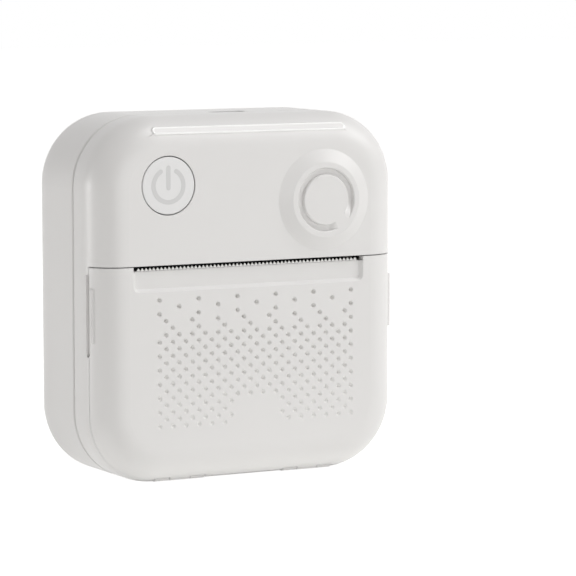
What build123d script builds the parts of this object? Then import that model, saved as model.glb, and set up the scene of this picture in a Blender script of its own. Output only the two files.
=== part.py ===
from build123d import *
import os
from math import acos, cos, degrees, radians, sin, sqrt, tan

os.makedirs("parts", exist_ok=True)

# Portable thermal printer for a 57 mm paper roll, in millimetres.
# X runs to the right, Y to the back and Z up. The origin is under the middle of the body.

# Body of the printer
body_width = 78.0
body_height = 83.4
body_depth = 36.0
corner_radius = 16.3
front_edge_radius = 8.0
rear_edge_radius = 8.0
wall = 2.0
inner_bevel_share = 0.65
seam_gap = 0.08

# Parting of the front and rear shells, with a lip inside a shadow gap
parting_depth = 12.9
parting_gap = 0.5
parting_bevel = 0.3
lip_length = 1.6
lip_wall = 0.9
lip_clearance = 0.1

# Front cover, the door of the paper bay
cover_depth = 5.5
upper_height = 33.34
cover_top_gap = 0.22

# Paper and its slot. The roll is as wide and as thick as the room in the body allows.
side_room = 10.5
roll_play = 0.6
roll_room_below = 5.0
roll_room_above = 5.6
roll_room_front = 2.8
roll_room_back = 1.4
core_radius = 7.0
core_wall = 1.2
core_play = 0.02
slot_centre = -0.52
slot_play = 1.0

# Recess in front of the tear bar
recess_depth = 0.9
recess_drop = 5.96
recess_corner = 1.4
recess_taper = 38.0
tooth_root_drop = 1.21

# Tear bar
tooth_pitch = 0.96
tooth_height = 0.75
tear_bar_thickness = 0.7
tear_bar_height = 4.2
tear_bar_seat = 0.75
fit_gap = 0.05

# Dimple pattern on the front cover
dimple_radius = 0.6
dimple_sides = 8
dimple_depth_top = 1.0
dimple_depth_bottom = 0.5
dimple_columns = 16
dimple_rows = 10
dimple_pitch_x = 3.29
dimple_pitch_z = 3.19
dimple_centre = 1.03
dimple_drop = 1.9
arch_top_row = 15
arch_half_width = 3

# Raised ring with a disc in it, at the upper right of the front
ring_inset = 20.43
ring_drop = 20.0
ring_base_radius = 11.7
ring_top_radius = 8.65
ring_inner_radius = 7.27
ring_height = 1.3
disc_radius = 5.85
moat_depth = 1.0
moat_bridge_angle = -51.5
moat_bridge_width = 33.0
ring_bevel = 0.2

# Raised bead in a long loop, on the rounding below the top edge
bead_x = 0.4
bead_drop = 3.16
bead_end_inset = 14.35
bead_loop_height = 1.65
bead_width = 0.6
bead_height = 0.15

# Power button and its switch
button_inset = 17.8
button_drop = 15.42
button_hole_radius = 6.73
button_gap = 0.24
button_flange = 0.9
button_flange_thickness = 0.8
button_flange_gap = 0.25
button_stem_radius = 1.5
button_travel = 0.6
switch_size = 6.0
switch_height = 3.5
plunger_radius = 1.7
plunger_length = 2.3
plunger_reach = 0.9
plunger_play = 0.08

# Grips on the two sides of the cover, with a nail slit along the seam behind each
grip_height = 12.4
grip_drop = 11.16
grip_front = 4.15
slit_front = 5.3
slit_back = 6.35
slit_depth = 0.8
slit_height = 18.2
slit_drop = 10.96
slit_end_radius = 0.45
slit_end_depth = 1.6

# Hinge of the cover, at the front of the underside
hinge_height = 1.45
hinge_barrel_radius = 1.25
hinge_pin_radius = 0.5
hinge_running_play = 0.05
hinge_clearance = 0.25
hinge_overrun = 0.1
shell_knuckle_length = 3.6
cover_knuckle_length = 5.0
knuckle_gap = 0.2
hinge_relief_angle = 40.0

# Snap tongues of the cover
tongue_drop = 11.06
tongue_width = 7.0
tongue_thickness = 1.2
tongue_gap = 0.85
tongue_front = 3.4
tongue_length = 5.4
tongue_bump = 0.2

# Platen roller, carried by the cover
platen_depth = 7.4
platen_drop = 5.46
platen_radius = 4.0
platen_shaft_radius = 1.25
shaft_end_bevel = 0.25
platen_end_gap = 0.3
arm_thickness = 1.6
arm_end_gap = 0.3
arm_half_height = 3.2
bush_radius = 2.4
shaft_play = 0.05
shaft_overhang = 0.6

# Gears: the module in millimetres, and the form of a tooth in modules
gear_module = 0.4
tooth_tip = 0.9
tooth_root = 1.25
tooth_half_tip = 0.36
tooth_half_pitch = 0.69
tooth_half_root = 0.98
platen_teeth = 20
idler_teeth = 30
pinion_teeth = 12
gear_width = 2.4
gear_gap = 0.5
mesh_play = 0.08
pinion_least_angle = 30.0
idler_pin_radius = 1.0

# Print head on its pivot
head_gap = 0.15
head_thickness = 1.0
head_drop = 4.1
head_height = 9.0
head_overlap = 0.05
heatsink_thickness = 2.2
heatsink_drop = 5.6
heatsink_height = 11.5
head_pivot_depth = 14.7
head_pivot_drop = 7.0
head_pivot_radius = 1.0
head_barrel_radius = 2.1
head_play = 0.05
head_side_gap = 0.4

# Paper bay frame
bay_wall = 1.2
bay_side_wall = 1.4
bay_side_gap = 0.5
bay_front = 6.6
bay_clearance = 0.3
tower_front = 11.2
tower_back = 16.9
tower_rise = 7.4
shelf_drop = 6.0
cross_wall_depth = 17.2
cross_wall_rise = 6.2
leaf_gap = 0.4
leaf_thickness = 0.3
leaf_width = 8.0

# Feed motor and the plate that carries it
motor_full_radius = 7.5
motor_front_gap = 0.4
motor_back_gap = 1.65
motor_length = 10.6
motor_shaft_radius = 0.75
motor_shaft_depth = 3.0
plate_thickness = 0.8
plate_gap = 0.1
plate_drop = 4.4
motor_side_gap = 2.38
plate_margin = 1.6
motor_hole_radius = 2.6

# Main board, its socket and its parts
board_depth = 12.6
board_thickness = 1.2
board_inset = 12.5
board_tower_gap = 3.4
board_drop = 3.2
post_radius = 2.0
post_inset = 2.5
post_low_rise = 2.8
post_high_drop = 2.6
screw_radius = 0.8
screw_head_radius = 1.7
screw_head_height = 1.0
screw_head_bevel = 0.25
cross_length = 2.2
cross_width = 0.5
cross_depth = 0.6
screw_length = 6.0
socket_x = 1.3
socket_depth = 15.4
socket_width = 8.94
socket_thickness = 3.2
socket_length = 7.3
socket_wall = 0.3
socket_recess = 0.3
socket_opening_gap = 0.3
tongue_plate_width = 6.7
tongue_plate_thickness = 0.7

# Battery behind the board
battery_inset = 12.0
battery_drop = 9.4
battery_shelf_gap = 2.2
battery_thickness = 5.6
battery_corner = 1.4
pad_thickness = 1.0
pad_margin = 4.0

# Paper sensor and the head's flat cable
sensor_width = 5.0
sensor_height = 2.4
sensor_thickness = 3.0
sensor_setback = 0.4
cable_thickness = 0.3
cable_end_gap = 0.4

# Screws of the case, by their inset from the sides and their height or drop
case_screw_low_inset = 5.0
case_screw_low_z = 18.0
case_screw_high_inset = 7.0
case_screw_high_drop = 12.4
case_boss_radius = 2.6
case_screw_length = 8.4
case_screw_radius = 1.0
case_head_radius = 1.9
case_head_height = 1.4
case_well_radius = 2.1
case_well_floor = 3.2
case_hole_play = 0.15
bay_screw_inset = 6.5
bay_screw_rise = 11.5

# Places worked out from the sizes above
front_y = -(body_depth + ring_height) / 2 + ring_height
cover_height = body_height - upper_height
platen_height = cover_height - platen_drop
shelf_height = platen_height - shelf_drop
roll_room_high = shelf_height - roll_room_above - roll_room_below
roll_room_deep = body_depth - wall - bay_wall - roll_play - roll_room_front - roll_room_back
roll_radius = min(roll_room_high, roll_room_deep) / 2
roll_height = roll_room_below + roll_radius
roll_depth = roll_room_front + roll_radius
paper_width = body_width - 2 * side_room
slot_width = paper_width + 2 * slot_play
paper_left = slot_centre - paper_width / 2
paper_right = slot_centre + paper_width / 2
bay_left = paper_left - bay_side_gap
bay_right = paper_right + bay_side_gap
platen_pitch_radius = gear_module * platen_teeth / 2
idler_pitch_radius = gear_module * idler_teeth / 2
pinion_pitch_radius = gear_module * pinion_teeth / 2
arm_left_x = paper_left - arm_end_gap - arm_thickness
arm_right_x = paper_right + arm_end_gap
plate_x = arm_right_x + arm_thickness + plate_gap
motor_left = plate_x - motor_length
recess_floor = cover_height - recess_drop
recess_top = cover_height - tooth_root_drop
ring_x = body_width / 2 - ring_inset
ring_z = body_height - ring_drop
button_x = button_inset - body_width / 2
button_z = body_height - button_drop
board_half_width = body_width / 2 - board_inset
board_bottom = platen_height + tower_rise + board_tower_gap
board_top = body_height - board_drop


def behind(depth):
    """The Y of a plane that lies depth behind the front face."""
    return front_y + depth


def front_plane(depth):
    """A sketch plane that faces the front, with X to the right and its second axis up."""
    return Plane.XZ.offset(-behind(depth))


def side_plane(x):
    """A sketch plane across the printer, whose axes are Y and Z."""
    return Plane.YZ.offset(x)


def outline(inset, mode=Mode.ADD):
    """The rounded front outline of the body, drawn in by inset."""
    with Locations((0, body_height / 2)):
        RectangleRounded(
            body_width - 2 * inset,
            body_height - 2 * inset,
            corner_radius - inset,
            mode=mode,
        )


def body_block(inset):
    """The rounded body, a little larger for a negative inset, or the bevelled block below it."""
    with BuildPart() as block:
        with BuildSketch(front_plane(inset)):
            outline(inset)
        extrude(amount=-(body_depth - 2 * inset))
        front_edges = block.edges().group_by(Axis.Y)[0]
        rear_edges = block.edges().group_by(Axis.Y)[-1]
        if inset <= 0:
            fillet(front_edges, front_edge_radius - inset)
            fillet(rear_edges, rear_edge_radius - inset)
        else:
            chamfer(front_edges, inner_bevel_share * (front_edge_radius - inset))
            chamfer(rear_edges, inner_bevel_share * (rear_edge_radius - inset))
    return block.part


def bar(x_low, x_high, y_low, y_high, z_low, z_high):
    """A plain bar between two corners, for a cut or a boss of another piece."""
    with BuildPart(mode=Mode.PRIVATE) as piece:
        with BuildSketch(Plane.XY.offset(z_low)):
            with Locations(((x_low + x_high) / 2, (y_low + y_high) / 2)):
                Rectangle(x_high - x_low, y_high - y_low)
        extrude(amount=z_high - z_low)
    return piece.part


def rod(x_low, x_high, y, z, radius):
    """A round bar along X."""
    with BuildPart(mode=Mode.PRIVATE) as piece:
        with BuildSketch(side_plane(x_low)):
            with Locations((y, z)):
                Circle(radius)
        extrude(amount=x_high - x_low)
    return piece.part


def stud(x, z, depth_low, depth_high, radius):
    """A round bar along Y, between two depths behind the front face."""
    with BuildPart(mode=Mode.PRIVATE) as piece:
        with BuildSketch(front_plane(depth_low)):
            with Locations((x, z)):
                Circle(radius)
        extrude(amount=-(depth_high - depth_low))
    return piece.part


def boss_with_web(x, z, depth_low, depth_high):
    """A screw boss joined to the side wall beside it by a web."""
    side = 1 if x > 0 else -1
    web_length = body_width / 2 - wall / 2 - abs(x)
    with BuildPart(mode=Mode.PRIVATE) as piece:
        with BuildSketch(front_plane(depth_low)):
            with Locations((x, z)):
                Circle(case_boss_radius)
            with Locations((x + side * web_length / 2, z)):
                Rectangle(web_length, case_boss_radius)
        extrude(amount=-(depth_high - depth_low))
        add(body_block(wall / 2), mode=Mode.INTERSECT)
    return piece.part


def gear(teeth, x, y, z, turn, bore):
    """A spur gear on an axis along X, with one tooth at the angle turn from +Y."""
    pitch_radius = gear_module * teeth / 2
    root_radius = pitch_radius - tooth_root * gear_module
    tip_radius = pitch_radius + tooth_tip * gear_module
    foot = root_radius - gear_module / 4
    flank = [
        (foot, tooth_half_root * gear_module),
        (root_radius, tooth_half_root * gear_module),
        (pitch_radius, tooth_half_pitch * gear_module),
        (tip_radius, tooth_half_tip * gear_module),
    ]
    lower_flank = [(across, -along) for across, along in flank]
    with BuildPart() as wheel:
        with BuildSketch(side_plane(x)):
            with Locations((y, z)):
                Circle(root_radius)
                with PolarLocations(0, teeth, start_angle=turn):
                    Polygon(*lower_flank, *reversed(flank), align=None)
                Circle(bore, mode=Mode.SUBTRACT)
        extrude(amount=gear_width)
    return wheel


# Rear shell: the back two thirds of the body, with a lip that enters the front shell
rear_face_depth = parting_depth + parting_gap / 2
lip_front_depth = rear_face_depth - lip_length
rear_inner_depth = body_depth - wall
well_floor_depth = rear_face_depth + case_well_floor
case_screws_at = [
    (side * (body_width / 2 - inset), z)
    for inset, z in (
        (case_screw_low_inset, case_screw_low_z),
        (case_screw_high_inset, body_height - case_screw_high_drop),
    )
    for side in (-1, 1)
]
bay_screw_x = paper_width / 2 - bay_screw_inset
bay_screws_at = [(side * bay_screw_x, roll_height + bay_screw_rise) for side in (-1, 1)]
bay_back_depth = roll_depth + roll_radius + roll_play + bay_wall

with BuildPart() as rear_shell:
    add(body_block(0))
    add(body_block(wall), mode=Mode.SUBTRACT)
    split(bisect_by=front_plane(rear_face_depth), keep=Keep.BOTTOM)
    rim = rear_shell.faces().sort_by(Axis.Y)[0]
    chamfer(rim.outer_wire().edges(), parting_bevel)
    with BuildSketch(front_plane(lip_front_depth)):
        outline(wall - lip_wall)
        outline(wall, mode=Mode.SUBTRACT)
    extrude(amount=-lip_length)
    for x, z in case_screws_at:
        add(boss_with_web(x, z, rear_face_depth, rear_inner_depth))
        add(stud(x, z, well_floor_depth, body_depth, case_well_radius), mode=Mode.SUBTRACT)
        hole_radius = case_screw_radius + case_hole_play
        add(stud(x, z, rear_face_depth, body_depth, hole_radius), mode=Mode.SUBTRACT)
    for x, z in bay_screws_at:
        add(stud(x, z, bay_back_depth, rear_inner_depth + wall / 2, post_radius))
        add(stud(x, z, bay_back_depth, rear_inner_depth, screw_radius), mode=Mode.SUBTRACT)
    with BuildSketch(Plane.XY.offset(body_height)):
        with Locations((socket_x, behind(socket_depth))):
            SlotOverall(
                socket_width + 2 * socket_opening_gap,
                socket_thickness + 2 * socket_opening_gap,
            )
    extrude(amount=-2 * wall, mode=Mode.SUBTRACT)

# Front shell: the upper face and the ring behind the cover
front_face_depth = parting_depth - parting_gap / 2
rim_depth = cover_depth + seam_gap / 2
bead_rise = (front_edge_radius - bead_drop) / front_edge_radius
bead_out = sqrt(1 - bead_rise**2)
bead_plane = Plane(
    origin=(
        bead_x,
        behind(front_edge_radius * (1 - bead_out)),
        body_height - bead_drop,
    ),
    x_dir=(1, 0, 0),
    z_dir=(0, -bead_out, bead_rise),
)
bead_loop_length = body_width - 2 * bead_end_inset
with BuildPart() as bead:
    with BuildSketch(bead_plane):
        SlotOverall(bead_loop_length + bead_width, bead_loop_height + bead_width)
        SlotOverall(
            bead_loop_length - bead_width,
            bead_loop_height - bead_width,
            mode=Mode.SUBTRACT,
        )
    extrude(amount=3 * bead_height, both=True)
    add(body_block(-bead_height), mode=Mode.INTERSECT)

bridge_ends = [
    (
        2 * ring_inner_radius * cos(radians(moat_bridge_angle + turn)),
        2 * ring_inner_radius * sin(radians(moat_bridge_angle + turn)),
    )
    for turn in (-moat_bridge_width / 2, moat_bridge_width / 2)
]
posts_at = [
    (side * (board_half_width - post_inset), z)
    for z in (board_bottom + post_low_rise, board_top - post_high_drop)
    for side in (-1, 1)
]
knuckles_length = 2 * shell_knuckle_length + cover_knuckle_length + 2 * knuckle_gap
hinge_inner_x = body_width / 2 - corner_radius + hinge_overrun - knuckles_length
shell_knuckles = []
cover_knuckles = []
for side in (-1, 1):
    start = hinge_inner_x
    for owner, length in (
        (shell_knuckles, shell_knuckle_length),
        (cover_knuckles, cover_knuckle_length),
        (shell_knuckles, shell_knuckle_length),
    ):
        ends = sorted((side * start, side * (start + length)))
        owner.append(tuple(ends))
        start += length + knuckle_gap
hinge_outer_x = start - knuckle_gap
hinge_y = behind(cover_depth)


def hinge_relief(side):
    """The wedge below the hinge line that leaves room for the rim to turn."""
    reach = 2 * hinge_height
    slope = side * tan(radians(hinge_relief_angle)) * reach
    with BuildPart(mode=Mode.PRIVATE) as wedge:
        with BuildSketch(side_plane(-body_width / 2)):
            with Locations((hinge_y, hinge_height)):
                Polygon((0, 0), (slope, -reach), (-side * reach, -reach), align=None)
        extrude(amount=body_width)
    return wedge.part


slit_z = cover_height - slit_drop


def nail_slit(side):
    """The slit along the seam on one side, with a deeper round hole at its lower end."""
    slit_floor = side * (body_width / 2 - slit_depth)
    x_low, x_high = sorted((slit_floor, side * body_width))
    z_low = slit_z - slit_height / 2
    with BuildPart(mode=Mode.PRIVATE) as slit:
        add(
            bar(
                x_low,
                x_high,
                behind(slit_front),
                behind(slit_back),
                z_low,
                slit_z + slit_height / 2,
            )
        )
        hole_floor = side * (body_width / 2 - slit_end_depth)
        x_low, x_high = sorted((hole_floor, side * body_width))
        hole_y = behind((slit_front + slit_back) / 2)
        add(rod(x_low, x_high, hole_y, z_low, slit_end_radius))
    return slit.part


with BuildPart() as front_shell:
    add(body_block(0))
    add(body_block(wall), mode=Mode.SUBTRACT)
    split(bisect_by=front_plane(front_face_depth), keep=Keep.TOP)
    rim = front_shell.faces().sort_by(Axis.Y)[-1]
    chamfer(rim.outer_wire().edges(), parting_bevel)
    add(
        bar(
            -body_width,
            body_width,
            behind(-ring_height),
            behind(rim_depth),
            -wall,
            cover_height,
        ),
        mode=Mode.SUBTRACT,
    )
    with BuildSketch(front_plane(wall / 2)):
        with Locations((ring_x, ring_z)):
            Circle(ring_base_radius)
    extrude(amount=wall / 2)
    with BuildSketch(front_plane(0)):
        with Locations((ring_x, ring_z)):
            Circle(ring_base_radius)
    with BuildSketch(front_plane(-ring_height)):
        with Locations((ring_x, ring_z)):
            Circle(ring_top_radius)
    loft()
    with BuildSketch(front_plane(-ring_height)):
        with Locations((ring_x, ring_z)):
            Circle(ring_inner_radius)
            Circle(disc_radius, mode=Mode.SUBTRACT)
            Polygon((0, 0), *bridge_ends, align=None, mode=Mode.SUBTRACT)
    extrude(amount=-moat_depth, mode=Mode.SUBTRACT)
    ring_top = front_shell.faces().sort_by(Axis.Y)[0]
    chamfer(ring_top.inner_wires()[0].edges(), ring_bevel)
    add(bead)
    add(
        stud(button_x, button_z, -wall, 2 * wall, button_hole_radius),
        mode=Mode.SUBTRACT,
    )
    for x, z in case_screws_at:
        add(boss_with_web(x, z, rim_depth, front_face_depth))
        add(stud(x, z, rim_depth + wall, parting_depth, screw_radius), mode=Mode.SUBTRACT)
    with BuildSketch(front_plane(lip_front_depth - lip_clearance)):
        outline(wall - lip_wall - lip_clearance)
        outline(wall + lip_clearance, mode=Mode.SUBTRACT)
    extrude(amount=-(lip_length + parting_gap), mode=Mode.SUBTRACT)
    for x, z in posts_at:
        add(stud(x, z, wall / 2, board_depth, post_radius))
        add(stud(x, z, 2 * wall, board_depth, screw_radius), mode=Mode.SUBTRACT)
    for side in (-1, 1):
        add(nail_slit(side), mode=Mode.SUBTRACT)
    add(hinge_relief(1), mode=Mode.SUBTRACT)
    for low, high in cover_knuckles:
        add(
            rod(
                low - knuckle_gap,
                high + knuckle_gap,
                hinge_y,
                hinge_height,
                hinge_barrel_radius + hinge_clearance,
            ),
            mode=Mode.SUBTRACT,
        )
    for low, high in shell_knuckles:
        add(rod(low, high, hinge_y, hinge_height, hinge_barrel_radius))
        add(
            rod(low, high, hinge_y, hinge_height, hinge_pin_radius),
            mode=Mode.SUBTRACT,
        )


# Front cover: the door with its recess, dimples, grips, hinge knuckles, arms and snap tongues
cover_rim_depth = cover_depth - seam_gap / 2
recess_left = slot_centre - slot_width / 2
recess_right = slot_centre + slot_width / 2
recess_reach = cover_height + slot_width
bar_front_depth = recess_depth + tear_bar_seat
grip_z = cover_height - grip_drop
tongue_z = cover_height - tongue_drop
slit_rise = front_edge_radius - slit_front
grip_face_x = body_width / 2 - front_edge_radius + sqrt(front_edge_radius**2 - slit_rise**2)


def dimple_is_open(row, column):
    """Whether the pattern has a dimple at a row and column, both in half steps.

    The rows thin out towards the top, and an arch stays plain at the middle of the bottom.
    """
    if (row + column) % 2:
        return False
    if row == 0 or row == 2:
        return column % 6 == 0
    if row == 1:
        return column % 6 == 3
    if row == 3:
        return column % 4 == 1
    if row == 4:
        return column % 4 == 2
    from_middle = abs(column - dimple_columns + 1)
    in_arch = row >= arch_top_row and from_middle <= arch_half_width + (row == arch_top_row + 1)
    return not in_arch


def dimple_places(row):
    """The dimples of one half row, as X and Z on the front face."""
    left = dimple_centre - dimple_pitch_x * (dimple_columns - 1) / 2
    top = recess_floor - dimple_drop
    for column in range(2 * dimple_columns - 1):
        if dimple_is_open(row, column):
            yield left + column * dimple_pitch_x / 2, top - row * dimple_pitch_z / 2


def dimple(depth):
    """A pointed pit in the front face, over the origin."""
    with BuildPart(mode=Mode.PRIVATE) as pit:
        with BuildSketch(front_plane(0)) as mouth:
            RegularPolygon(dimple_radius, dimple_sides, rotation=180 / dimple_sides)
        loft(sections=[mouth.sketch.face(), Vertex(0, behind(depth), 0)])
    return pit.part


with BuildPart() as front_cover:
    add(body_block(0))
    add(body_block(wall), mode=Mode.SUBTRACT)
    split(bisect_by=front_plane(cover_rim_depth), keep=Keep.TOP)
    split(
        bisect_by=Plane.XY.offset(cover_height - cover_top_gap),
        keep=Keep.BOTTOM,
    )
    with BuildSketch(front_plane(0)):
        with Locations((slot_centre, (recess_floor + recess_reach) / 2)):
            RectangleRounded(slot_width, recess_reach - recess_floor, recess_corner)
    extrude(amount=-recess_depth, taper=recess_taper, mode=Mode.SUBTRACT)
    add(
        bar(
            recess_left,
            recess_right,
            behind(-wall),
            behind(cover_depth),
            recess_top,
            cover_height,
        ),
        mode=Mode.SUBTRACT,
    )
    add(
        bar(
            recess_left + recess_depth,
            recess_right - recess_depth,
            behind(bar_front_depth - fit_gap),
            behind(cover_depth),
            recess_top - tear_bar_height - fit_gap,
            cover_height,
        ),
        mode=Mode.SUBTRACT,
    )
    for side in (-1, 1):
        x_low, x_high = sorted((side * (body_width / 2 - wall), side * grip_face_x))
        add(
            bar(
                x_low,
                x_high,
                behind(grip_front),
                behind(slit_front),
                grip_z - grip_height / 2,
                grip_z + grip_height / 2,
            )
        )
        add(nail_slit(side), mode=Mode.SUBTRACT)
        outer = body_width / 2 - wall - tongue_gap
        inner = outer - tongue_thickness
        x_low, x_high = sorted((side * inner, side * outer))
        z_low = tongue_z - tongue_width / 2
        z_high = tongue_z + tongue_width / 2
        tongue_end = tongue_front + tongue_length
        add(bar(x_low, x_high, behind(tongue_front), behind(tongue_end), z_low, z_high))
        bump_low, bump_high = sorted((side * outer, side * (outer + tongue_bump)))
        bump_start = behind(tongue_end - tongue_thickness)
        add(bar(bump_low, bump_high, bump_start, behind(tongue_end), z_low, z_high))
    for x in (arm_left_x, arm_right_x):
        with BuildSketch(side_plane(x)):
            with Locations((behind(platen_depth), platen_height)):
                Circle(arm_half_height)
            with Locations((behind((platen_depth + wall / 2) / 2), platen_height)):
                Rectangle(platen_depth - wall / 2, 2 * arm_half_height)
        extrude(amount=arm_thickness)
        end_x = x + arm_thickness
        shaft_y = behind(platen_depth)
        add(rod(x, end_x, shaft_y, platen_height, bush_radius), mode=Mode.SUBTRACT)
    add(hinge_relief(-1), mode=Mode.SUBTRACT)
    for low, high in shell_knuckles:
        add(
            rod(
                low - knuckle_gap,
                high + knuckle_gap,
                hinge_y,
                hinge_height,
                hinge_barrel_radius + hinge_clearance,
            ),
            mode=Mode.SUBTRACT,
        )
    for low, high in cover_knuckles:
        add(rod(low, high, hinge_y, hinge_height, hinge_barrel_radius))
        add(
            rod(
                low,
                high,
                hinge_y,
                hinge_height,
                hinge_pin_radius + hinge_running_play,
            ),
            mode=Mode.SUBTRACT,
        )
    last_row = 2 * dimple_rows - 2
    pits = []
    for row in range(last_row + 1):
        fade = row / last_row
        pit = dimple(dimple_depth_top + (dimple_depth_bottom - dimple_depth_top) * fade)
        pits += [pit.moved(Location((x, 0, z))) for x, z in dimple_places(row)]
    add(pits, mode=Mode.SUBTRACT)

# Hinge pins, pressed into the shell's knuckles
with BuildPart() as hinge_pins:
    for side in (-1, 1):
        low, high = sorted((side * hinge_inner_x, side * hinge_outer_x))
        add(rod(low, high, hinge_y, hinge_height, hinge_pin_radius))

# Tear bar: a toothed strip behind the recess, whose teeth show in the paper slot
tear_bar_length = slot_width - 2 * recess_depth - 2 * fit_gap
tooth_count = int(tear_bar_length / tooth_pitch)
with BuildPart() as tear_bar:
    with BuildSketch(front_plane(bar_front_depth)):
        with Locations((slot_centre, recess_top - tear_bar_height / 2)):
            Rectangle(tear_bar_length, tear_bar_height)
        with Locations((slot_centre, recess_top)):
            with GridLocations(tooth_pitch, tooth_height, tooth_count, 1):
                Polygon(
                    (-tooth_pitch / 2, 0),
                    (tooth_pitch / 2, 0),
                    (0, tooth_height),
                    align=None,
                )
    extrude(amount=-tear_bar_thickness)

# Platen: a steel shaft with a rubber sleeve, in two bushes pressed into the cover's arms
platen_y = behind(platen_depth)
shaft_left = arm_left_x - shaft_overhang
gear_x = arm_right_x + arm_thickness + plate_gap + plate_thickness + gear_gap
shaft_right = gear_x + gear_width + shaft_overhang
with BuildPart() as platen_shaft:
    add(rod(shaft_left, shaft_right, platen_y, platen_height, platen_shaft_radius))
    chamfer(platen_shaft.edges().filter_by(GeomType.CIRCLE), shaft_end_bevel)

with BuildPart() as platen_rubber:
    rubber_left = paper_left + platen_end_gap / 2
    rubber_right = paper_right - platen_end_gap / 2
    add(rod(rubber_left, rubber_right, platen_y, platen_height, platen_radius))
    add(
        rod(rubber_left, rubber_right, platen_y, platen_height, platen_shaft_radius),
        mode=Mode.SUBTRACT,
    )

with BuildPart() as platen_bushes:
    for x in (arm_left_x, arm_right_x):
        add(rod(x, x + arm_thickness, platen_y, platen_height, bush_radius))
    bush_bore = platen_shaft_radius + shaft_play
    add(
        rod(shaft_left, shaft_right, platen_y, platen_height, bush_bore),
        mode=Mode.SUBTRACT,
    )

# Gear train: platen gear, idler on its pin, and the motor's pinion
half_tooth_turn = 180 / platen_teeth
platen_gear = gear(
    platen_teeth,
    gear_x,
    platen_y,
    platen_height,
    half_tooth_turn,
    platen_shaft_radius,
)
idler_y = platen_y + platen_pitch_radius + idler_pitch_radius + mesh_play
idler_z = platen_height
idler_bore = idler_pin_radius + shaft_play
idler_gear = gear(idler_teeth, gear_x, idler_y, idler_z, 0, idler_bore)
pinion_distance = idler_pitch_radius + pinion_pitch_radius + mesh_play
motor_room_front = behind(tower_back + motor_front_gap)
motor_room_back = behind(body_depth - wall - motor_back_gap)
motor_reach = min(
    (motor_room_front + motor_room_back) / 2 - idler_y,
    pinion_distance * cos(radians(pinion_least_angle)),
)
motor_radius = min(motor_full_radius, (motor_room_back - motor_room_front) / 2)
pinion_angle = degrees(acos(motor_reach / pinion_distance))
motor_y = idler_y + motor_reach
motor_z = idler_z + pinion_distance * sin(radians(pinion_angle))
idler_tooth_turn = -pinion_angle % (360 / idler_teeth)
pinion_turn = (
    pinion_angle
    + 180
    + 180 / pinion_teeth
    - idler_tooth_turn * idler_teeth / pinion_teeth
)
motor_gear = gear(
    pinion_teeth,
    gear_x,
    motor_y,
    motor_z,
    pinion_turn,
    motor_shaft_radius,
)

# Gear plate of sheet steel, which carries the motor and the idler's pin
plate_front_y = idler_y - idler_pin_radius - plate_margin * 2
plate_back_y = motor_y + motor_radius + plate_margin
plate_top = motor_z + motor_radius + plate_margin / 2
plate_bottom = platen_height - plate_drop
with BuildPart() as gear_plate:
    with BuildSketch(side_plane(plate_x)):
        with Locations(((plate_front_y + plate_back_y) / 2, (plate_bottom + plate_top) / 2)):
            RectangleRounded(
                plate_back_y - plate_front_y,
                plate_top - plate_bottom,
                plate_margin,
            )
        with Locations((motor_y, motor_z)):
            Circle(motor_hole_radius, mode=Mode.SUBTRACT)
        with Locations((idler_y, idler_z)):
            Circle(idler_pin_radius, mode=Mode.SUBTRACT)
    extrude(amount=plate_thickness)

with BuildPart() as idler_pin:
    add(rod(plate_x, shaft_right, idler_y, idler_z, idler_pin_radius))

# Feed motor: a small stepper can with its mounting collar, and its turning shaft
with BuildPart() as feed_motor:
    add(rod(motor_left, plate_x, motor_y, motor_z, motor_radius))
    chamfer(feed_motor.edges().group_by(Axis.X)[0], motor_shaft_radius)
    add(rod(plate_x, plate_x + plate_thickness, motor_y, motor_z, motor_hole_radius))
    add(
        rod(
            plate_x - motor_shaft_depth,
            plate_x + plate_thickness,
            motor_y,
            motor_z,
            motor_shaft_radius + shaft_play,
        ),
        mode=Mode.SUBTRACT,
    )

with BuildPart() as motor_shaft:
    add(
        rod(
            plate_x - motor_shaft_depth + shaft_play,
            shaft_right,
            motor_y,
            motor_z,
            motor_shaft_radius,
        )
    )

# Print head: a ceramic heating plate on an aluminium carrier that tilts on a pin
head_left = bay_left + head_side_gap
head_right = bay_right - head_side_gap
head_bottom = platen_height - head_drop
heatsink_bottom = platen_height - heatsink_drop
head_pivot_height = platen_height - head_pivot_drop
head_front_depth = platen_depth + platen_radius + head_gap
heatsink_front_depth = head_front_depth + head_thickness + head_overlap
heatsink_back_depth = heatsink_front_depth + heatsink_thickness
with BuildPart() as print_head:
    add(
        bar(
            head_left,
            head_right,
            behind(head_front_depth),
            behind(head_front_depth + head_thickness),
            head_bottom,
            head_bottom + head_height,
        )
    )
    chamfer(
        print_head.edges().group_by(Axis.Y)[0].group_by(Axis.Z)[0],
        head_thickness / 2,
    )

head_pivot_y = behind(head_pivot_depth)
with BuildPart() as head_heatsink:
    add(
        bar(
            head_left,
            head_right,
            behind(heatsink_front_depth - head_overlap),
            behind(heatsink_back_depth),
            heatsink_bottom,
            heatsink_bottom + heatsink_height,
        )
    )
    add(
        rod(head_left, head_right, head_pivot_y, head_pivot_height, head_barrel_radius)
    )
    add(
        rod(
            head_left,
            head_right,
            head_pivot_y,
            head_pivot_height,
            head_pivot_radius + head_play,
        ),
        mode=Mode.SUBTRACT,
    )

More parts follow.
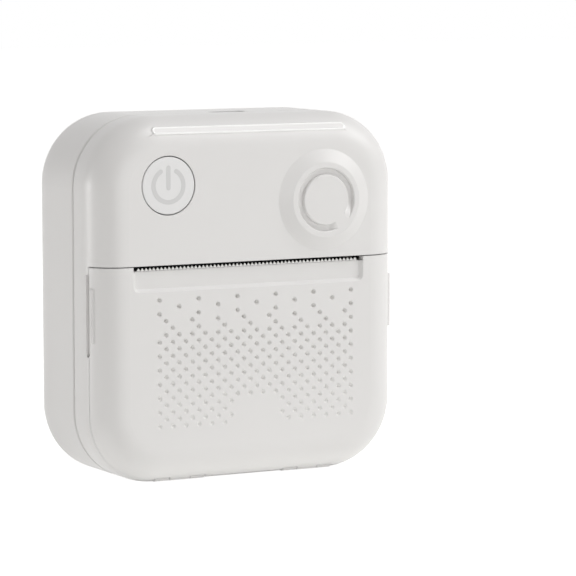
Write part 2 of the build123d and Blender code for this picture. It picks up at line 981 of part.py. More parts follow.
# Paper bay: the cradle under the roll, its cheeks, and the wall behind the head
cradle_inner = roll_radius + roll_play
cradle_outer = cradle_inner + bay_wall
bay_inner_back = roll_depth + cradle_inner
cheek_left_x = bay_left - bay_side_wall
cheek_right_end = bay_right + bay_side_wall
roll_y = behind(roll_depth)
tower_top = platen_height + tower_rise
cross_wall_top = platen_height + cross_wall_rise
cross_wall_end = motor_left - motor_side_gap
with BuildPart() as paper_bay:
    with BuildSketch(side_plane(cheek_left_x)):
        with Locations((roll_y, roll_height)):
            Circle(cradle_outer)
            Rectangle(
                cradle_outer,
                shelf_height + bay_wall - roll_height,
                align=(Align.MIN, Align.MIN),
            )
        with Locations((behind(tower_front), roll_height)):
            Rectangle(
                tower_back - tower_front,
                tower_top - roll_height,
                align=(Align.MIN, Align.MIN),
            )
        with Locations((behind(bay_front), 0)):
            Rectangle(
                bay_front + 2 * wall,
                body_height,
                align=(Align.MAX, Align.MIN),
                mode=Mode.SUBTRACT,
            )
    extrude(amount=cheek_right_end - cheek_left_x)
    with BuildSketch(side_plane(bay_left)):
        with Locations((roll_y, roll_height)):
            Circle(cradle_inner)
            Rectangle(
                cradle_inner,
                shelf_height - roll_height,
                align=(Align.MIN, Align.MIN),
            )
        with Locations((behind(bay_front - wall), roll_height)):
            Rectangle(
                cross_wall_depth - bay_front + wall,
                tower_top,
                align=(Align.MIN, Align.MIN),
            )
    extrude(amount=bay_right - bay_left, mode=Mode.SUBTRACT)
    add(
        bar(
            bay_left - bay_side_wall / 2,
            cross_wall_end,
            behind(cross_wall_depth),
            behind(cross_wall_depth + bay_wall),
            shelf_height,
            cross_wall_top,
        )
    )
    add(
        rod(
            cheek_left_x,
            cheek_right_end,
            head_pivot_y,
            head_pivot_height,
            head_pivot_radius,
        ),
        mode=Mode.SUBTRACT,
    )
    for x, z in bay_screws_at:
        hole = stud(x, z, bay_inner_back - wall, bay_back_depth, case_screw_radius)
        add(hole, mode=Mode.SUBTRACT)
    add(body_block(wall + bay_clearance), mode=Mode.INTERSECT)

with BuildPart() as head_pivot_pin:
    add(
        rod(
            cheek_left_x,
            cheek_right_end,
            head_pivot_y,
            head_pivot_height,
            head_pivot_radius,
        )
    )

# Leaf springs between the wall and the head, drawn pressed flat
with BuildPart() as head_springs:
    leaf_back_y = behind(cross_wall_depth)
    leaf_front_y = behind(heatsink_back_depth + leaf_gap + leaf_thickness)
    leaf_low = head_bottom + wall
    leaf_high = cross_wall_top - wall
    leaf_middle = (leaf_low + leaf_high) / 2
    for step in (-1, 1):
        leaf_x = (bay_left + cross_wall_end) / 2 + step * (cross_wall_end - bay_left) / 4
        with BuildSketch(side_plane(leaf_x - leaf_width / 2)):
            with BuildLine():
                Polyline(
                    (leaf_back_y, leaf_low),
                    (leaf_front_y, leaf_middle),
                    (leaf_back_y, leaf_high),
                    (leaf_back_y - leaf_thickness, leaf_high),
                    (leaf_front_y - leaf_thickness, leaf_middle),
                    (leaf_back_y - leaf_thickness, leaf_low),
                    close=True,
                )
            make_face()
        extrude(amount=leaf_width)


# Main board, with its parts on the back and the power switch on the front
board_back_depth = board_depth + board_thickness
with BuildPart() as main_board:
    with BuildSketch(front_plane(board_depth)):
        with Locations((0, (board_bottom + board_top) / 2)):
            Rectangle(2 * board_half_width, board_top - board_bottom)
        with Locations(*posts_at):
            Circle(case_screw_radius, mode=Mode.SUBTRACT)
    extrude(amount=-board_thickness)

# Chips, connectors and coils: X, rise above the board's foot, width, height and thickness
board_parts = {
    "controller": (-6.0, 13.1, 7.0, 7.0, 0.9),
    "radio_module": (-16.0, 11.1, 10.0, 13.0, 2.0),
    "motor_driver": (12.5, 8.6, 5.0, 5.0, 0.9),
    "head_connector": (1.3, 3.0, 22.0, 3.6, 2.0),
    "battery_connector": (18.5, 15.1, 6.0, 4.5, 4.0),
    "coil": (9.5, 14.6, 4.0, 4.0, 2.2),
    "capacitor": (20.0, 8.1, 5.0, 3.0, 2.0),
}
with BuildPart() as board_components:
    for x, rise, part_width, part_height, part_thickness in board_parts.values():
        with BuildSketch(front_plane(board_back_depth)):
            with Locations((x, board_bottom + rise)):
                Rectangle(part_width, part_height)
        extrude(amount=-part_thickness)

with BuildPart() as power_switch:
    switch_front_depth = board_depth - switch_height
    with BuildSketch(front_plane(switch_front_depth)):
        with Locations((button_x, button_z)):
            Rectangle(switch_size, switch_size)
    extrude(amount=-switch_height)
    bore_end = switch_front_depth + plunger_length - plunger_reach + button_travel
    bore_radius = plunger_radius + plunger_play
    add(
        stud(button_x, button_z, switch_front_depth, bore_end + plunger_play, bore_radius),
        mode=Mode.SUBTRACT,
    )

# Charging socket on the top edge of the board
socket_top = body_height - socket_recess
with BuildPart() as charging_socket:
    with BuildSketch(Plane.XY.offset(socket_top)):
        with Locations((socket_x, behind(socket_depth))):
            SlotOverall(socket_width, socket_thickness)
    extrude(amount=-socket_length)
    with BuildSketch(Plane.XY.offset(socket_top)):
        with Locations((socket_x, behind(socket_depth))):
            SlotOverall(
                socket_width - 2 * socket_wall,
                socket_thickness - 2 * socket_wall,
            )
            Rectangle(
                tongue_plate_width,
                tongue_plate_thickness,
                mode=Mode.SUBTRACT,
            )
    extrude(amount=socket_wall - socket_length, mode=Mode.SUBTRACT)

# Battery pack, held to the rear shell by a foam pad
battery_back_depth = rear_inner_depth - pad_thickness
battery_left = battery_inset - body_width / 2
battery_right = motor_left - motor_side_gap
battery_x = (battery_left + battery_right) / 2
battery_width = battery_right - battery_left
battery_bottom = shelf_height + bay_wall + battery_shelf_gap
battery_height = body_height - battery_drop - battery_bottom
with BuildPart() as battery_pack:
    with BuildSketch(front_plane(battery_back_depth - battery_thickness)):
        with Locations((battery_x, battery_bottom + battery_height / 2)):
            Rectangle(battery_width, battery_height)
    extrude(amount=-battery_thickness)
    fillet(battery_pack.edges().filter_by(Axis.X), battery_corner)

with BuildPart() as battery_pad:
    with BuildSketch(front_plane(battery_back_depth)):
        with Locations((battery_x, battery_bottom + battery_height / 2 - pad_margin / 2)):
            Rectangle(
                battery_width - 2 * pad_margin,
                battery_height - 2 * pad_margin,
            )
    extrude(amount=-pad_thickness)

# Power button: a disc flush with the face, a flange behind the wall and a stem
button_radius = button_hole_radius - button_gap
flange_front = wall + button_flange_gap
plunger_front = switch_front_depth - plunger_reach
with BuildPart() as power_button:
    add(stud(button_x, button_z, 0, flange_front, button_radius))
    chamfer(power_button.edges().group_by(Axis.Y)[0], button_gap / 2)
    flange_back = flange_front + button_flange_thickness
    flange_radius = button_hole_radius + button_flange
    add(stud(button_x, button_z, flange_front, flange_back, flange_radius))
    add(stud(button_x, button_z, flange_back, plunger_front, button_stem_radius))

with BuildPart() as switch_plunger:
    plunger_back = plunger_front + plunger_length
    add(stud(button_x, button_z, plunger_front, plunger_back, plunger_radius))

# Paper roll on its core
with BuildPart() as paper_roll:
    add(rod(paper_left, paper_right, roll_y, roll_height, roll_radius))
    add(
        rod(paper_left, paper_right, roll_y, roll_height, core_radius + core_play),
        mode=Mode.SUBTRACT,
    )

with BuildPart() as roll_core:
    add(rod(paper_left, paper_right, roll_y, roll_height, core_radius))
    add(
        rod(paper_left, paper_right, roll_y, roll_height, core_radius - core_wall),
        mode=Mode.SUBTRACT,
    )

# Paper sensor under the shelf, looking down at the roll
with BuildPart() as paper_sensor:
    sensor_front = behind(cross_wall_depth + sensor_setback)
    add(
        bar(
            slot_centre - sensor_width / 2,
            slot_centre + sensor_width / 2,
            sensor_front,
            sensor_front + sensor_thickness,
            shelf_height - sensor_height,
            shelf_height,
        )
    )

# Flat cable from the board's connector down to the head
connector_x, connector_rise, cable_width, connector_height, connector_thickness = board_parts[
    "head_connector"
]
with BuildPart() as head_cable:
    cable_front = board_back_depth + connector_thickness / 2
    add(
        bar(
            connector_x - cable_width / 2,
            connector_x + cable_width / 2,
            behind(cable_front),
            behind(cable_front + cable_thickness),
            heatsink_bottom + heatsink_height + cable_end_gap,
            board_bottom + connector_rise - connector_height / 2,
        )
    )


def screw(x, z, head_depth, length, shank_radius, head_radius, head_height):
    """A screw that enters forwards from head_depth: a plain shank and a head with a cross."""
    with BuildPart(mode=Mode.PRIVATE) as piece:
        add(stud(x, z, head_depth - length, head_depth, shank_radius))
        add(stud(x, z, head_depth, head_depth + head_height, head_radius))
        chamfer(piece.edges().group_by(Axis.Y)[-1], screw_head_bevel)
        with BuildSketch(front_plane(head_depth + head_height)):
            with Locations((x, z)):
                Rectangle(cross_length, cross_width)
                Rectangle(cross_width, cross_length)
        extrude(amount=cross_depth, mode=Mode.SUBTRACT)
    return piece.part


with BuildPart() as case_screws:
    for x, z in case_screws_at:
        add(
            screw(
                x,
                z,
                well_floor_depth,
                case_screw_length,
                screw_radius,
                case_head_radius,
                case_head_height,
            )
        )

with BuildPart() as board_screws:
    for x, z in posts_at:
        add(
            screw(
                x,
                z,
                board_back_depth,
                screw_length,
                screw_radius,
                screw_head_radius,
                screw_head_height,
            )
        )

# The bay's screws enter backwards, into the posts of the rear shell
with BuildPart() as bay_screws:
    for x, z in bay_screws_at:
        head_front = bay_inner_back - screw_head_height
        add(stud(x, z, head_front, bay_inner_back, screw_head_radius))
        add(stud(x, z, bay_inner_back, rear_inner_depth - fit_gap, screw_radius))

pieces = {
    "rear_shell": rear_shell,
    "front_shell": front_shell,
    "front_cover": front_cover,
    "hinge_pins": hinge_pins,
    "tear_bar": tear_bar,
    "platen_shaft": platen_shaft,
    "platen_rubber": platen_rubber,
    "platen_bushes": platen_bushes,
    "platen_gear": platen_gear,
    "idler_gear": idler_gear,
    "motor_gear": motor_gear,
    "gear_plate": gear_plate,
    "idler_pin": idler_pin,
    "feed_motor": feed_motor,
    "motor_shaft": motor_shaft,
    "print_head": print_head,
    "head_heatsink": head_heatsink,
    "paper_bay": paper_bay,
    "head_pivot_pin": head_pivot_pin,
    "head_springs": head_springs,
    "main_board": main_board,
    "board_components": board_components,
    "power_switch": power_switch,
    "charging_socket": charging_socket,
    "battery_pack": battery_pack,
    "battery_pad": battery_pad,
    "power_button": power_button,
    "switch_plunger": switch_plunger,
    "paper_roll": paper_roll,
    "roll_core": roll_core,
    "paper_sensor": paper_sensor,
    "head_cable": head_cable,
    "case_screws": case_screws,
    "board_screws": board_screws,
    "bay_screws": bay_screws,
}
for name, piece in pieces.items():
    piece.part.label = name
    export_step(piece.part, f"parts/{name}.step")
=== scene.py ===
from math import asin, cos, pi, radians, sin, sqrt

import bmesh
import bpy
from mathutils import Matrix, Vector


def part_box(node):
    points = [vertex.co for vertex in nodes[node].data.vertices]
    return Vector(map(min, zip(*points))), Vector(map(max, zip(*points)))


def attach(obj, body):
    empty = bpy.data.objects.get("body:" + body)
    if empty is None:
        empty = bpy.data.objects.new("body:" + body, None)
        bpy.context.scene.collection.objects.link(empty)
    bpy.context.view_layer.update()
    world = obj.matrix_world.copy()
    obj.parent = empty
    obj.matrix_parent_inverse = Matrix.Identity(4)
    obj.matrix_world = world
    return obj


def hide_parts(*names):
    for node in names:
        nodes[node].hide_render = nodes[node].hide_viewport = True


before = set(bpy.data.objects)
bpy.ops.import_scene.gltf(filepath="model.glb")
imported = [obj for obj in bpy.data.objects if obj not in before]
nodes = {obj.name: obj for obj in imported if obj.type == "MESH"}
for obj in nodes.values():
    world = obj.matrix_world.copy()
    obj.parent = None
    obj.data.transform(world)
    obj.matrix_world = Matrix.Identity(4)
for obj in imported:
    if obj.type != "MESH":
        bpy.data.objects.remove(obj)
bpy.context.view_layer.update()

MM = 0.001

# The camera stands a little to the left of the printer and a little above it, far off
# with a long lens, as a catalogue photographer places it.
scene = bpy.context.scene
aim = Vector((9.18, -17.35, 43.39)) * MM
camera_distance = 757.6 * MM
camera_azimuth = radians(28.32)
camera_pitch = radians(5.876)
camera_roll = radians(0.089)
forward = Vector(
    (
        sin(camera_azimuth) * cos(camera_pitch),
        cos(camera_azimuth) * cos(camera_pitch),
        -sin(camera_pitch),
    )
)
camera_data = bpy.data.cameras.new("camera")
camera_data.lens = 206.45
camera_data.sensor_width = 36.0
camera_data.clip_start = 0.05
camera = bpy.data.objects.new("camera", camera_data)
camera.matrix_world = (
    Matrix.Translation(aim - forward * camera_distance)
    @ forward.to_track_quat("-Z", "Y").to_matrix().to_4x4()
    @ Matrix.Rotation(-camera_roll, 4, "Z")
)
scene.collection.objects.link(camera)
scene.camera = camera
scene.view_settings.view_transform = "Standard"


def linear(hex_colour):
    """An sRGB hex colour as linear red, green, blue and alpha."""
    values = [int(hex_colour[i : i + 2], 16) / 255 for i in (1, 3, 5)]
    return tuple(v / 12.92 if v < 0.04045 else ((v + 0.055) / 1.055) ** 2.4 for v in values) + (1.0,)


def add(tree, kind, links=(), values=(), **settings):
    """Adds a node. A setting names an input or a property. Links are (input, socket), and
    values are (input, value), for inputs that are only told apart by their number."""
    node = tree.nodes.new(kind)
    for name, value in settings.items():
        socket = node.inputs.get(name.replace("_", " "))
        if socket is None:
            setattr(node, name, value)
        else:
            socket.default_value = value
    for name, value in values:
        node.inputs[name].default_value = value
    for name, source in links:
        tree.links.new(source, node.inputs[name])
    return node


def new_material(name):
    """An empty node material and its tree."""
    material = bpy.data.materials.new(name)
    material.use_nodes = True
    material.node_tree.nodes.clear()
    return material, material.node_tree


def seen_directly(tree):
    """1 for a ray that shows the surroundings as white paper: from the camera, a gloss or glass."""
    path = add(tree, "ShaderNodeLightPath").outputs
    seen = path["Is Camera Ray"]
    for kind in ("Is Glossy Ray", "Is Transmission Ray"):
        seen = add(tree, "ShaderNodeMath", [(0, seen), (1, path[kind])], operation="MAXIMUM").outputs[0]
    return seen


# The studio: a white world and a pale floor that both read as white paper to the camera,
# with the object lit at a plain level by large soft lamps. The floor's faint glow for other
# rays stands for the light that a wide sweep of paper sends back to the underside.
world = bpy.data.worlds.new("studio")
scene.world = world
world.use_nodes = True
tree = world.node_tree
tree.nodes.clear()
ambient_level = 0.28
warm_fill = (1.0, 0.97, 0.95, 1.0)
white = (1.0, 1.0, 1.0, 1.0)
seen = seen_directly(tree)
level = add(tree, "ShaderNodeMapRange", [("Value", seen)], To_Min=ambient_level, To_Max=1.0)
shade = add(
    tree, "ShaderNodeMix", [("Factor", seen)], [(6, warm_fill), (7, white)], data_type="RGBA"
)
sky = add(
    tree,
    "ShaderNodeBackground",
    [("Color", shade.outputs[2]), ("Strength", level.outputs[0])],
)
add(tree, "ShaderNodeOutputWorld", [("Surface", sky.outputs[0])])

floor_size = 3.0
floor_gap = 0.05 * MM
floor_glow_unseen = 0.15
floor_glow_seen = 0.76
floor_mesh = bpy.data.meshes.new("floor")
floor_shape = bmesh.new()
bmesh.ops.create_grid(floor_shape, x_segments=1, y_segments=1, size=floor_size)
floor_shape.to_mesh(floor_mesh)
floor_shape.free()
floor = bpy.data.objects.new("floor", floor_mesh)
floor.location.z = -floor_gap
scene.collection.objects.link(floor)
floor_material, tree = new_material("white_paper_floor")
seen = seen_directly(tree)
lift = add(
    tree,
    "ShaderNodeMapRange",
    [("Value", seen)],
    To_Min=floor_glow_unseen,
    To_Max=floor_glow_seen,
)
paper = add(tree, "ShaderNodeBsdfDiffuse", Color=linear("#F6F6F4"))
glow = add(tree, "ShaderNodeEmission", [("Strength", lift.outputs[0])], Color=white)
both = add(tree, "ShaderNodeAddShader", [(0, paper.outputs[0]), (1, glow.outputs[0])])
add(tree, "ShaderNodeOutputMaterial", [("Surface", both.outputs[0])])
floor_mesh.materials.append(floor_material)


def soft_lamp(name, place, target, size, watts):
    """A square softbox at place, turned to target, all in millimetres."""
    data = bpy.data.lights.new(name, "AREA")
    data.shape = "SQUARE"
    data.size = size * MM
    data.energy = watts
    lamp = bpy.data.objects.new(name, data)
    lamp.location = Vector(place) * MM
    lamp.rotation_euler = (Vector(target) * MM - lamp.location).to_track_quat("-Z", "Y").to_euler()
    scene.collection.objects.link(lamp)


middle = (0.0, 0.0, 42.0)
soft_lamp("key_softbox", (650.0, -400.0, 600.0), middle, 500.0, 2.95)
soft_lamp("top_softbox", (250.0, -250.0, 800.0), middle, 300.0, 1.7)
soft_lamp("side_softbox", (-740.0, 300.0, 30.0), middle, 250.0, 2.0)
soft_lamp("low_softbox", (-60.0, -760.0, 40.0), middle, 400.0, 1.3)

# Front shell, rear shell and front cover: warm white ABS, injection moulded, the rear
# shell held by four screws from behind and the cover hung on pins at its lower edge.
def dress(names, material):
    """Gives CAD nodes one material in every slot."""
    for name in names:
        mesh = nodes[name].data
        mesh.materials.clear()
        mesh.materials.append(material)


def moulded(name, low, high, roughness, grain_mm, grain_depth_mm, edge_mm=0.15, ior=1.54):
    """A moulded plastic: a faint drift between two colours, a fine grain and softened edges."""
    drift_size = 26 * MM
    polish_drift = 0.03
    material, tree = new_material(name)
    place = add(tree, "ShaderNodeTexCoord").outputs["Object"]
    drift = add(tree, "ShaderNodeTexNoise", [("Vector", place)], Scale=1 / drift_size, Detail=2.0)
    colour = add(
        tree,
        "ShaderNodeMix",
        [("Factor", drift.outputs["Fac"])],
        [(6, linear(low)), (7, linear(high))],
        data_type="RGBA",
    )
    grain = add(tree, "ShaderNodeTexNoise", [("Vector", place)], Scale=1 / (grain_mm * MM), Detail=3.0)
    edge = add(tree, "ShaderNodeBevel", Radius=edge_mm * MM, samples=4)
    bump = add(
        tree,
        "ShaderNodeBump",
        [("Height", grain.outputs["Fac"]), ("Normal", edge.outputs[0])],
        Strength=1.0,
        Distance=grain_depth_mm * MM,
    )
    polish = add(
        tree,
        "ShaderNodeMapRange",
        [("Value", drift.outputs["Fac"])],
        To_Min=roughness - polish_drift,
        To_Max=roughness + polish_drift,
    )
    shader = add(
        tree,
        "ShaderNodeBsdfPrincipled",
        [
            ("Base Color", colour.outputs[2]),
            ("Roughness", polish.outputs[0]),
            ("Normal", bump.outputs[0]),
        ],
        IOR=ior,
    )
    add(tree, "ShaderNodeOutputMaterial", [("Surface", shader.outputs[0])])
    return material


# Satin from a fine spark-eroded mould. The real grain is about 0.05 mm, too fine to show,
# so it is drawn at 0.3 mm and very shallow.
housing_abs = moulded("moulded_abs_warm_white", "#E4E3E2", "#E7E6E5", 0.36, 0.30, 0.0012, 0.3)
dress(["front_shell", "rear_shell", "front_cover"], housing_abs)

# Small roundings get a painted highlight: their base colour is mixed towards white, drawn after the bright
# lines that the photo shows at such edges. The pits get painted light and shade: their tone, paler in the
# lower rows, is set to match the photo as well.
small_rounding = 0.15 * MM
plain_face_alike = 0.98
full_edge_alike = 0.82
tree = housing_abs.node_tree
place = add(tree, "ShaderNodeTexCoord").outputs["Object"]
rounding = add(tree, "ShaderNodeBevel", Radius=small_rounding, samples=8)
face = add(tree, "ShaderNodeNewGeometry").outputs["Normal"]
alike = add(tree, "ShaderNodeVectorMath", [(0, rounding.outputs[0]), (1, face)], operation="DOT_PRODUCT")
on_edge = add(
    tree,
    "ShaderNodeMapRange",
    [("Value", alike.outputs["Value"])],
    From_Min=plain_face_alike,
    From_Max=full_edge_alike,
)
cover_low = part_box("front_cover")[0]
dimple_field_top = 43.2 * MM
dimple_field_foot = 8.5 * MM
dimple_field_side = 27.0 * MM
dimple_floor_depth = 1.3 * MM
pit_tone_depth = 0.2 * MM
axes = add(tree, "ShaderNodeSeparateXYZ", [("Vector", place)]).outputs
below_face = add(
    tree,
    "ShaderNodeMapRange",
    [("Value", axes["Y"])],
    From_Min=cover_low[1],
    From_Max=cover_low[1] + pit_tone_depth,
)
sideways = add(tree, "ShaderNodeMath", [(0, axes["X"])], operation="ABSOLUTE").outputs[0]
in_field = None
for reach, test, limit in (
    (axes["Z"], "LESS_THAN", dimple_field_top),
    (axes["Z"], "GREATER_THAN", dimple_field_foot),
    (sideways, "LESS_THAN", dimple_field_side),
    (axes["Y"], "LESS_THAN", cover_low[1] + dimple_floor_depth),
):
    inside = add(tree, "ShaderNodeMath", [(0, reach)], [(1, limit)], operation=test)
    if in_field:
        limits = [(0, in_field.outputs[0]), (1, inside.outputs[0])]
        inside = add(tree, "ShaderNodeMath", limits, operation="MULTIPLY")
    in_field = inside
in_dimple = add(
    tree,
    "ShaderNodeMath",
    [(0, below_face.outputs[0]), (1, in_field.outputs[0])],
    operation="MULTIPLY",
)
# Mask of the painted highlight: small roundings, except in the dimple field.
painted_edge_highlight = add(
    tree,
    "ShaderNodeMath",
    [(0, on_edge.outputs[0]), (1, in_field.outputs[0])],
    operation="SUBTRACT",
    use_clamp=True,
)
shader = next(node for node in tree.nodes if node.type == "BSDF_PRINCIPLED")
plain = shader.inputs["Base Color"].links[0].from_socket
# Painted highlight: the base colour goes to white on small roundings.
skin = add(
    tree,
    "ShaderNodeMix",
    [("Factor", painted_edge_highlight.outputs[0]), (6, plain)],
    [(7, linear("#FFFFFF"))],
    data_type="RGBA",
)
height_share = add(
    tree,
    "ShaderNodeMapRange",
    [("Value", axes["Z"])],
    From_Min=dimple_field_foot,
    From_Max=dimple_field_top,
)
# Painted light and shade in the pits: a tone from pale in the lower rows to near the housing's tone in the
# upper rows.
painted_pit_tone = add(
    tree,
    "ShaderNodeMix",
    [("Factor", height_share.outputs[0])],
    [(6, linear("#F1F0EF")), (7, linear("#E3E2E0"))],
    data_type="RGBA",
)
# Inside the pits the painted tone takes the place of the housing's colour.
skin_with_painted_pit_tone = add(
    tree,
    "ShaderNodeMix",
    [("Factor", in_dimple.outputs[0]), (6, skin.outputs[2]), (7, painted_pit_tone.outputs[2])],
    data_type="RGBA",
)
tree.links.new(skin_with_painted_pit_tone.outputs[2], shader.inputs["Base Color"])


def piece_from(name, shape, material, body):
    """Turns a mesh that was drawn into a piece that rides on a body."""
    bmesh.ops.recalc_face_normals(shape, faces=shape.faces)
    mesh = bpy.data.meshes.new(name)
    shape.to_mesh(mesh)
    shape.free()
    mesh.materials.append(material)
    piece = bpy.data.objects.new(name, mesh)
    scene.collection.objects.link(piece)
    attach(piece, body)
    return piece


# Ends of the channel round the raised disc: at its bridge the channel's floor runs out in
# a smooth ramp, in one moulding with the shell.
channel_abs = moulded("moulded_abs_in_channel", "#E4E3E2", "#E7E6E5", 0.36, 0.30, 0.0012, 0.1)
shell_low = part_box("front_shell")[0]
ring_centre = (18.57 * MM, 63.4 * MM)
channel_inner = 5.80 * MM
channel_outer = 7.32 * MM
channel_depth = 1.0 * MM
ramp_shy = 0.004 * MM
ramp_sink = 0.05 * MM
ramp_steps = 16
for name, start, sweep in (
    ("channel_ramp_right", radians(-39.0), radians(36.0)),
    ("channel_ramp_left", radians(-65.0), radians(-20.0)),
):
    ramp = bmesh.new()
    rows = []
    for step in range(ramp_steps + 1):
        share = step / ramp_steps
        turn = start + sweep * share
        fall = share * share * (3 - 2 * share)
        top = shell_low[1] + ramp_shy + channel_depth * fall
        floor_level = shell_low[1] + channel_depth + ramp_sink
        rows.append(
            [
                ramp.verts.new(
                    (ring_centre[0] + radius * cos(turn), level, ring_centre[1] + radius * sin(turn))
                )
                for radius, level in (
                    (channel_inner, top),
                    (channel_outer, top),
                    (channel_outer, floor_level),
                    (channel_inner, floor_level),
                )
            ]
        )
    for row, following in zip(rows, rows[1:]):
        for corner in range(4):
            after = (corner + 1) % 4
            ramp.faces.new((row[corner], row[after], following[after], following[corner]))
    ramp.faces.new(rows[0][::-1])
    ramp.faces.new(rows[-1])
    ramp_piece = piece_from(name, ramp, channel_abs, "root")

# Bead under the top edge: a loop of two fine ridges with a plain strip between them, moulded with the front
# shell and wrapped over its rounding. The ridges are smoother than the shell and coloured near white, a
# painted highlight; the strip keeps the shell's colour.
bead_middle_x = 0.25 * MM
bead_drop = 3.16 * MM
edge_radius = 8.0 * MM
corner_radius = 16.3 * MM
bead_line = 0.84 * MM
bead_straight = 23.7 * MM
bead_profile = (
    (0.34, -0.05),
    (0.28, 0.08),
    (0.17, 0.21),
    (0.05, 0.27),
    (-0.07, 0.27),
    (-0.19, 0.22),
    (-0.30, 0.17),
)
bead_steps = 12
rear_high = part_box("rear_shell")[1]
corner_x = rear_high[0] - corner_radius
corner_z = rear_high[2] - corner_radius
rounding_y = cover_low[1] + edge_radius
bead_turn = asin((edge_radius - bead_drop) / edge_radius)


def on_rounding(across, up, proud):
    """A point over the front edge's rounding, from its place along and up the bead."""
    turn = bead_turn + up / edge_radius
    reach = corner_radius - edge_radius + (edge_radius + proud) * sin(turn)
    x = bead_middle_x + across
    past = max(abs(x) - corner_x, 0.0)
    return (x, rounding_y - (edge_radius + proud) * cos(turn), corner_z + sqrt(reach**2 - past**2))


bead = bmesh.new()
loops = []
for outward, proud in bead_profile:
    radius = bead_line + outward * MM
    loop = []
    for side in (1, -1):
        for step in range(bead_steps + 1):
            turn = side * pi / 2 - pi * step / bead_steps
            across = side * bead_straight + radius * cos(turn)
            loop.append(bead.verts.new(on_rounding(across, radius * sin(turn), proud * MM)))
    loops.append(loop)
count = len(loops[0])
for outer, inner in zip(loops, loops[1:]):
    for place in range(count):
        after = (place + 1) % count
        bead.faces.new((outer[place], outer[after], inner[after], inner[place]))
for loop in (loops[0], loops[-1]):
    strip = []
    for start in (0, bead_steps + 1):
        arc = loop[start : start + bead_steps + 1]
        for place in range(bead_steps // 2):
            ring = [arc[place], arc[place + 1], arc[-2 - place], arc[-1 - place]]
            strip.append(bead.faces.new(list(dict.fromkeys(ring))))
    right_end = (loop[0], loop[bead_steps])
    left_end = (loop[-1], loop[bead_steps + 1])
    strip.append(bead.faces.new((right_end[0], right_end[1], left_end[1], left_end[0])))
    for side in strip:
        side.material_index = 1
for side in bead.faces:
    side.smooth = side.material_index == 0
# Painted highlight: the ridges' near-white colour stands in for the light they catch.
bead_painted_highlight = moulded("abs_white_with_painted_highlight", "#FBFBFA", "#FEFEFD", 0.16, 0.30, 0.0004, 0.05)
bead_piece = piece_from("bead_ridges", bead, bead_painted_highlight, "root")
bead_piece.data.materials.append(channel_abs)


# Power button: a disc of the same ABS in a neutral white, polished a little more, which
# floats in the front shell on a flange and presses a switch on the board.
button_abs = moulded("moulded_abs_neutral_white", "#E8E8E8", "#EBEBEB", 0.32, 0.30, 0.0010, 0.25)
dress(["power_button"], button_abs)

# Power sign on the button: a broken ring and a bar, pad printed in pale grey ink and so
# only hundredths of a millimetre thick.
button_low, button_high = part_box("power_button")
sign_centre = ((button_low[0] + button_high[0]) / 2, (button_low[2] + button_high[2]) / 2)
sign_radius = 3.73 * MM
sign_width = 1.04 * MM
sign_opening = radians(31.0)
sign_bar_top = 4.55 * MM
sign_bar_bottom = -1.07 * MM
ink_proud = 0.03 * MM
ink_sunk = 0.05 * MM


def extruded(shape, corners, way):
    """Adds a solid to shape: a flat outline of corners, drawn out along way."""
    face = shape.faces.new([shape.verts.new(corner) for corner in corners])
    grown = bmesh.ops.extrude_face_region(shape, geom=[face])
    moved = [item for item in grown["geom"] if isinstance(item, bmesh.types.BMVert)]
    bmesh.ops.translate(shape, verts=moved, vec=way)


def stroke(shape, path, width, corner_steps=10):
    """Adds a flat stroke of ink along a path of (across, up) points, with round ends."""
    sides = ([], [])
    for place, (across, up) in enumerate(path):
        before = path[max(place - 1, 0)]
        after = path[min(place + 1, len(path) - 1)]
        along = Vector((after[0] - before[0], after[1] - before[1])).normalized()
        for side, sign in zip(sides, (1, -1)):
            side.append((across - sign * along.y * width / 2, up + sign * along.x * width / 2))
    ends = []
    for (across, up), start in ((path[-1], sides[0][-1]), (path[0], sides[1][0])):
        arm = Vector((start[0] - across, start[1] - up))
        turns = [pi * step / corner_steps for step in range(1, corner_steps)]
        ends.append(
            [
                (
                    across + arm.x * cos(turn) + arm.y * sin(turn),
                    up - arm.x * sin(turn) + arm.y * cos(turn),
                )
                for turn in turns
            ]
        )
    outline = sides[0] + ends[0] + sides[1][::-1] + ends[1]
    front = button_low[1] - ink_proud
    corners = [(sign_centre[0] + across, front, sign_centre[1] + up) for across, up in outline]
    extruded(shape, corners, (0, ink_proud + ink_sunk, 0))


sign_shape = bmesh.new()
ring_steps = 48
ring_turns = [
    pi / 2 + sign_opening + (2 * pi - 2 * sign_opening) * step / ring_steps
    for step in range(ring_steps + 1)
]
stroke(sign_shape, [(sign_radius * cos(turn), sign_radius * sin(turn)) for turn in ring_turns], sign_width)
half_width = sign_width / 2
stroke(sign_shape, [(0, sign_bar_bottom + half_width), (0, sign_bar_top - half_width)], sign_width)
sign_ink = moulded("pad_printed_grey_ink", "#D4D4D4", "#D8D8D8", 0.45, 0.20, 0.0008, 0.05)
power_sign = piece_from("power_sign", sign_shape, sign_ink, "button")


# Tear bar: a strip of harder white acrylic, moulded and fixed behind the cover's wall. Its
# teeth stand level with the floor of the recess and are glossy, so that paper tears cleanly.
# Partly painted light: the bar is coloured paler than the housing so that its teeth, in the shade under the
# shell's overhang, still read white.
tear_bar_abs = moulded("moulded_acrylic_white", "#F2F2F0", "#F6F6F4", 0.25, 0.40, 0.0006, 0.08, 1.49)
tear_low, tear_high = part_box("tear_bar")
bar_foot = tear_low[2]
tooth_tip_z = tear_high[2]
tooth_pitch = 0.96 * MM
tooth_count = 59
wall_top_z = 48.86 * MM
lip_height = 0.08 * MM
lip_front = cover_low[1] + 0.92 * MM
tooth_depth = 0.3 * MM
bar_middle_x = (tear_low[0] + tear_high[0]) / 2

